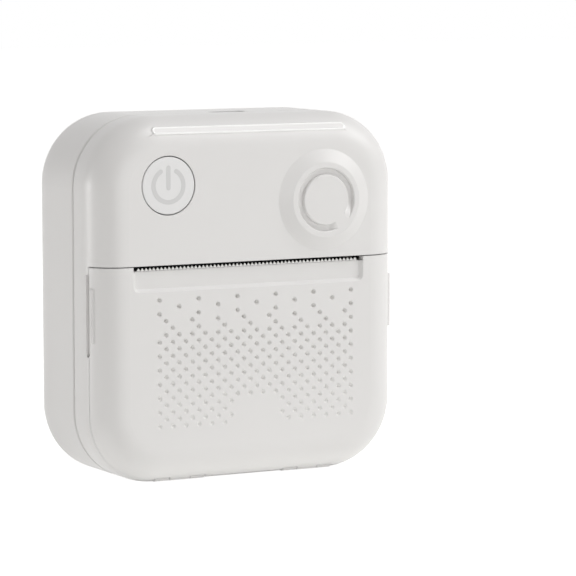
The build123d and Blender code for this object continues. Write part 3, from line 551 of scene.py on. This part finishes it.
bar = bmesh.new()
lip_top = wall_top_z + lip_height
profile = (
    (lip_front, wall_top_z),
    (lip_front, lip_top),
    (tear_high[1], lip_top),
    (tear_high[1], bar_foot),
    (tear_low[1], bar_foot),
    (tear_low[1], wall_top_z),
)
extruded(bar, [(tear_low[0], y, z) for y, z in profile], (tear_high[0] - tear_low[0], 0, 0))
teeth_left = bar_middle_x - tooth_pitch * tooth_count / 2
teeth = [(tear_high[0], lip_top - lip_height / 2), (tear_low[0], lip_top - lip_height / 2)]
teeth += [(tear_low[0], lip_top), (teeth_left, lip_top)]
for place in range(tooth_count):
    teeth.append((teeth_left + tooth_pitch * (place + 0.5), tooth_tip_z))
    teeth.append((teeth_left + tooth_pitch * (place + 1), lip_top))
teeth.append((tear_high[0], lip_top))
extruded(bar, [(x, lip_front, z) for x, z in teeth], (0, tooth_depth, 0))
bar_piece = piece_from("toothed_tear_bar", bar, tear_bar_abs, "cover")
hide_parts("tear_bar")


# Bay, cheeks and cradle: one moulding in black ABS, matt from its mould. The switch body,
# its plunger, the chips, the connectors and the sensor are moulded in duller black resin.
frame_abs = moulded("moulded_abs_black", "#1B1B1D", "#222225", 0.48, 0.35, 0.004, 0.2)
dress(["paper_bay"], frame_abs)
chip_resin = moulded("moulded_epoxy_black", "#151517", "#1D1D1F", 0.55, 0.25, 0.005, 0.1, 1.6)
dress(["board_components", "power_switch", "switch_plunger", "paper_sensor"], chip_resin)

# Gears on the platen's shaft and the idler's pin: acetal in its natural milky white, moulded,
# with the slight gloss of a slippery plastic.
gear_acetal = moulded("moulded_acetal_natural", "#E4E2D8", "#EAE8DF", 0.30, 0.50, 0.002, 0.05, 1.48)
dress(["platen_gear", "idler_gear"], gear_acetal)

# Core of the roll: a thin tube of black polystyrene, extruded and sawn off, with the paper
# wound on it. Its satin skin shows only at the ends.
core_plastic = moulded("extruded_polystyrene_black", "#101011", "#181819", 0.42, 0.6, 0.006, 0.1, 1.59)
dress(["roll_core"], core_plastic)


# Shafts, pins, plate, motor can, springs, screws and socket: steel that was drawn, turned
# or rolled, and then plated or left bright. The streaks follow the way it was worked.
def worked_metal(name, low, high, roughness, streak_mm, depth_mm):
    """A metal with streaks of a size along X, Y and Z, between two colours."""
    polish_drift = 0.06
    material, tree = new_material(name)
    place = add(tree, "ShaderNodeTexCoord").outputs["Object"]
    stretch = add(
        tree,
        "ShaderNodeMapping",
        [("Vector", place)],
        Scale=[1 / (size * MM) for size in streak_mm],
    )
    streaks = add(tree, "ShaderNodeTexNoise", [("Vector", stretch.outputs[0])], Scale=1.0, Detail=4.0)
    colour = add(
        tree,
        "ShaderNodeMix",
        [("Factor", streaks.outputs["Fac"])],
        [(6, linear(low)), (7, linear(high))],
        data_type="RGBA",
    )
    polish = add(
        tree,
        "ShaderNodeMapRange",
        [("Value", streaks.outputs["Fac"])],
        To_Min=roughness - polish_drift,
        To_Max=roughness + polish_drift,
    )
    bump = add(
        tree,
        "ShaderNodeBump",
        [("Height", streaks.outputs["Fac"])],
        Strength=1.0,
        Distance=depth_mm * MM,
    )
    shader = add(
        tree,
        "ShaderNodeBsdfPrincipled",
        [
            ("Base Color", colour.outputs[2]),
            ("Roughness", polish.outputs[0]),
            ("Normal", bump.outputs[0]),
        ],
        Metallic=1.0,
    )
    add(tree, "ShaderNodeOutputMaterial", [("Surface", shader.outputs[0])])
    return material


ground_steel = worked_metal("ground_bright_steel", "#A6A7A9", "#BDBEC0", 0.24, (0.12, 4.0, 4.0), 0.001)
dress(["platen_shaft", "motor_shaft", "idler_pin", "hinge_pins", "head_pivot_pin"], ground_steel)
plated_sheet = worked_metal("zinc_plated_steel_sheet", "#A9ACB0", "#BFC2C4", 0.34, (3.0, 3.0, 0.25), 0.002)
dress(["gear_plate", "feed_motor"], plated_sheet)
spring_strip = worked_metal("rolled_spring_steel", "#8F8B84", "#A5A199", 0.28, (0.15, 2.0, 2.0), 0.001)
dress(["head_springs"], spring_strip)
screw_steel = worked_metal("nickel_plated_steel", "#8E8C88", "#A3A09B", 0.3, (0.6, 0.6, 0.6), 0.002)
dress(["case_screws", "board_screws", "bay_screws"], screw_steel)
socket_shell = worked_metal("drawn_stainless_shell", "#A2A3A4", "#B9BABB", 0.26, (0.3, 0.3, 5.0), 0.001)
dress(["charging_socket"], socket_shell)

# Pinion of the motor: free-cutting brass, hobbed from bar and pressed on the shaft, so fine
# bright cuts run along its teeth.
pinion_brass = worked_metal("hobbed_brass", "#C9A65C", "#DDBC74", 0.3, (2.0, 0.2, 0.2), 0.002)
dress(["motor_gear"], pinion_brass)

# Bushes of the platen: sintered bronze, pressed from powder and soaked with oil, so the
# surface is full of tiny dark pores.
bush_bronze = worked_metal("sintered_bronze", "#6E4E34", "#B88A5C", 0.42, (0.12, 0.12, 0.12), 0.006)
dress(["platen_bushes"], bush_bronze)

# Carrier of the print head: aluminium, extruded along the paper's width and left plain, with
# long fine lines from the die. The heating plate is glued to its front.
carrier_aluminium = worked_metal("extruded_aluminium", "#B9BBBD", "#CFD0D2", 0.36, (9.0, 0.2, 0.2), 0.002)
dress(["head_heatsink"], carrier_aluminium)


# Heating plate of the print head: alumina ceramic, ground flat and glazed. One thin brown
# line of glaze across it, level with the platen's axis, holds the heating dots, and black
# resin covers the driver chips above it.
platen_low, platen_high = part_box("platen_rubber")
heating_line_z = (platen_low[2] + platen_high[2]) / 2
heating_line_width = 0.7 * MM
resin_above = 1.8 * MM
ceramic, tree = new_material("glazed_alumina")
place = add(tree, "ShaderNodeTexCoord").outputs["Object"]
speck = add(tree, "ShaderNodeTexNoise", [("Vector", place)], Scale=1 / (0.3 * MM), Detail=3.0)
body_colour = add(
    tree,
    "ShaderNodeMix",
    [("Factor", speck.outputs["Fac"])],
    [(6, linear("#C4BDAE")), (7, linear("#CFC9BB"))],
    data_type="RGBA",
)
height = add(tree, "ShaderNodeSeparateXYZ", [("Vector", place)]).outputs["Z"]
on_line = add(
    tree,
    "ShaderNodeMath",
    [(0, height)],
    [(1, heating_line_z), (2, heating_line_width / 2)],
    operation="COMPARE",
)
plate_colour = add(
    tree,
    "ShaderNodeMix",
    [("Factor", on_line.outputs[0]), (6, body_colour.outputs[2])],
    [(7, linear("#5A3A24"))],
    data_type="RGBA",
)
in_resin = add(
    tree,
    "ShaderNodeMath",
    [(0, height)],
    [(1, heating_line_z + resin_above)],
    operation="GREATER_THAN",
)
coated = add(
    tree,
    "ShaderNodeMix",
    [("Factor", in_resin.outputs[0]), (6, plate_colour.outputs[2])],
    [(7, linear("#0E0E0F"))],
    data_type="RGBA",
)
dullness = add(
    tree,
    "ShaderNodeMapRange",
    [("Value", in_resin.outputs[0])],
    To_Min=0.16,
    To_Max=0.65,
)
glaze = add(
    tree,
    "ShaderNodeBsdfPrincipled",
    [("Base Color", coated.outputs[2]), ("Roughness", dullness.outputs[0])],
    IOR=1.6,
)
add(tree, "ShaderNodeOutputMaterial", [("Surface", glaze.outputs[0])])
dress(["print_head"], ceramic)


# Sleeve of the platen: black silicone rubber, cast on the shaft and ground round, which
# leaves fine rings and a dull skin that grips the paper.
rubber, tree = new_material("ground_silicone_rubber")
place = add(tree, "ShaderNodeTexCoord").outputs["Object"]
ring_mm = (0.2, 3.0, 3.0)
stretch = add(
    tree,
    "ShaderNodeMapping",
    [("Vector", place)],
    Scale=[1 / (size * MM) for size in ring_mm],
)
rings = add(tree, "ShaderNodeTexNoise", [("Vector", stretch.outputs[0])], Scale=1.0, Detail=3.0)
dust = add(tree, "ShaderNodeTexNoise", [("Vector", place)], Scale=1 / (1.5 * MM), Detail=5.0)
skin = add(
    tree,
    "ShaderNodeMix",
    [("Factor", dust.outputs["Fac"])],
    [(6, linear("#1E1E1F")), (7, linear("#2E2E2F"))],
    data_type="RGBA",
)
bump = add(tree, "ShaderNodeBump", [("Height", rings.outputs["Fac"])], Strength=1.0, Distance=0.006 * MM)
shader = add(
    tree,
    "ShaderNodeBsdfPrincipled",
    [("Base Color", skin.outputs[2]), ("Normal", bump.outputs[0])],
    Roughness=0.62,
    IOR=1.43,
)
add(tree, "ShaderNodeOutputMaterial", [("Surface", shader.outputs[0])])
dress(["platen_rubber"], rubber)


# Roll of thermal paper: smooth coated paper wound on a core. The ends show the turns, about
# 0.06 mm each, which are drawn 0.5 mm apart because they are too fine to show.
roll_low, roll_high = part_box("paper_roll")
roll_axis = [(low + high) / 2 for low, high in zip(roll_low, roll_high)]
turn_spacing = 0.5 * MM
paper, tree = new_material("coated_thermal_paper")
place = add(tree, "ShaderNodeTexCoord").outputs["Object"]
centred = add(
    tree, "ShaderNodeVectorMath", [(0, place)], [(1, roll_axis)], operation="SUBTRACT"
).outputs[0]
flat = add(
    tree, "ShaderNodeVectorMath", [(0, centred)], [(1, (0.0, 1.0, 1.0))], operation="MULTIPLY"
)
out = add(tree, "ShaderNodeVectorMath", [(0, flat.outputs[0])], operation="LENGTH")
turns = add(
    tree,
    "ShaderNodeMath",
    [(0, out.outputs["Value"])],
    [(1, 2 * pi / turn_spacing)],
    operation="MULTIPLY",
)
wave = add(tree, "ShaderNodeMath", [(0, turns.outputs[0])], operation="SINE")
fibre = add(tree, "ShaderNodeTexNoise", [("Vector", place)], Scale=1 / (0.4 * MM), Detail=6.0)
ends = add(tree, "ShaderNodeNewGeometry").outputs["Normal"]
facing = add(tree, "ShaderNodeVectorMath", [(0, ends)], operation="ABSOLUTE")
on_end = add(tree, "ShaderNodeSeparateXYZ", [("Vector", facing.outputs[0])]).outputs["X"]
edge_shade = add(tree, "ShaderNodeMath", [(0, wave.outputs[0]), (1, on_end)], operation="MULTIPLY")
shade = add(tree, "ShaderNodeMapRange", [("Value", edge_shade.outputs[0])], From_Min=-1.0, From_Max=1.0)
tone = add(
    tree,
    "ShaderNodeMix",
    [("Factor", shade.outputs[0])],
    [(6, linear("#E6E6E2")), (7, linear("#F4F4F1"))],
    data_type="RGBA",
)
bump = add(tree, "ShaderNodeBump", [("Height", fibre.outputs["Fac"])], Strength=1.0, Distance=0.003 * MM)
shader = add(
    tree,
    "ShaderNodeBsdfPrincipled",
    [("Base Color", tone.outputs[2]), ("Normal", bump.outputs[0])],
    Roughness=0.55,
    IOR=1.5,
)
add(tree, "ShaderNodeOutputMaterial", [("Surface", shader.outputs[0])])
dress(["paper_roll"], paper)


# Main board: glass epoxy under green solder mask. Copper below the mask shows as slightly
# paler islands with thin gaps between them.
island_size = 2.4 * MM
gap_edge = 0.05
island_edge = 0.09
board_mask, tree = new_material("green_solder_mask")
place = add(tree, "ShaderNodeTexCoord").outputs["Object"]
islands = add(
    tree,
    "ShaderNodeTexVoronoi",
    [("Vector", place)],
    Scale=1 / island_size,
    feature="DISTANCE_TO_EDGE",
)
copper = add(
    tree,
    "ShaderNodeMapRange",
    [("Value", islands.outputs["Distance"])],
    From_Min=gap_edge,
    From_Max=island_edge,
)
mask = add(
    tree,
    "ShaderNodeMix",
    [("Factor", copper.outputs[0])],
    [(6, linear("#0B3A1E")), (7, linear("#14582F"))],
    data_type="RGBA",
)
bump = add(tree, "ShaderNodeBump", [("Height", copper.outputs[0])], Strength=1.0, Distance=0.03 * MM)
shader = add(
    tree,
    "ShaderNodeBsdfPrincipled",
    [("Base Color", mask.outputs[2]), ("Normal", bump.outputs[0])],
    Roughness=0.3,
    IOR=1.52,
)
add(tree, "ShaderNodeOutputMaterial", [("Surface", shader.outputs[0])])
dress(["main_board"], board_mask)


# Battery: a lithium cell in a pouch of aluminium laminate, silver-grey and faintly creased
# where it was sealed.
pouch, tree = new_material("aluminium_laminate_pouch")
place = add(tree, "ShaderNodeTexCoord").outputs["Object"]
crease = add(tree, "ShaderNodeTexNoise", [("Vector", place)], Scale=1 / (7 * MM), Detail=5.0, Distortion=1.5)
film = add(
    tree,
    "ShaderNodeMix",
    [("Factor", crease.outputs["Fac"])],
    [(6, linear("#8E9196")), (7, linear("#B4B7BB"))],
    data_type="RGBA",
)
bump = add(tree, "ShaderNodeBump", [("Height", crease.outputs["Fac"])], Strength=1.0, Distance=0.35 * MM)
shader = add(
    tree,
    "ShaderNodeBsdfPrincipled",
    [("Base Color", film.outputs[2]), ("Normal", bump.outputs[0])],
    Metallic=0.85,
    Roughness=0.38,
)
add(tree, "ShaderNodeOutputMaterial", [("Surface", shader.outputs[0])])
dress(["battery_pack"], pouch)

# Pad behind the battery: closed cell foam tape, dark grey, whose cells of about 0.3 mm are
# cut open at its edges.
foam, tree = new_material("closed_cell_foam")
place = add(tree, "ShaderNodeTexCoord").outputs["Object"]
cells = add(tree, "ShaderNodeTexVoronoi", [("Vector", place)], Scale=1 / (0.3 * MM))
tone = add(
    tree,
    "ShaderNodeMix",
    [("Factor", cells.outputs["Distance"])],
    [(6, linear("#1C1C1D")), (7, linear("#434344"))],
    data_type="RGBA",
)
bump = add(tree, "ShaderNodeBump", [("Height", cells.outputs["Distance"])], Strength=1.0, Distance=0.1 * MM)
shader = add(
    tree,
    "ShaderNodeBsdfPrincipled",
    [("Base Color", tone.outputs[2]), ("Normal", bump.outputs[0])],
    Roughness=0.85,
)
add(tree, "ShaderNodeOutputMaterial", [("Surface", shader.outputs[0])])
dress(["battery_pad"], foam)

# Flat cable of the head: polyimide film laminated over copper strips at a 0.5 mm pitch,
# which show through the amber film.
strip_pitch = 0.5 * MM
cable_film, tree = new_material("polyimide_film_over_copper")
place = add(tree, "ShaderNodeTexCoord").outputs["Object"]
across = add(tree, "ShaderNodeSeparateXYZ", [("Vector", place)]).outputs["X"]
turns = add(
    tree, "ShaderNodeMath", [(0, across)], [(1, 2 * pi / strip_pitch)], operation="MULTIPLY"
)
strips = add(tree, "ShaderNodeMath", [(0, turns.outputs[0])], operation="SINE")
shade = add(tree, "ShaderNodeMapRange", [("Value", strips.outputs[0])], From_Min=-0.2, From_Max=0.2)
tone = add(
    tree,
    "ShaderNodeMix",
    [("Factor", shade.outputs[0])],
    [(6, linear("#8A4A12")), (7, linear("#C07A32"))],
    data_type="RGBA",
)
bump = add(tree, "ShaderNodeBump", [("Height", shade.outputs[0])], Strength=1.0, Distance=0.02 * MM)
shader = add(
    tree,
    "ShaderNodeBsdfPrincipled",
    [("Base Color", tone.outputs[2]), ("Normal", bump.outputs[0])],
    Roughness=0.25,
    IOR=1.7,
)
add(tree, "ShaderNodeOutputMaterial", [("Surface", shader.outputs[0])])
dress(["head_cable"], cable_film)
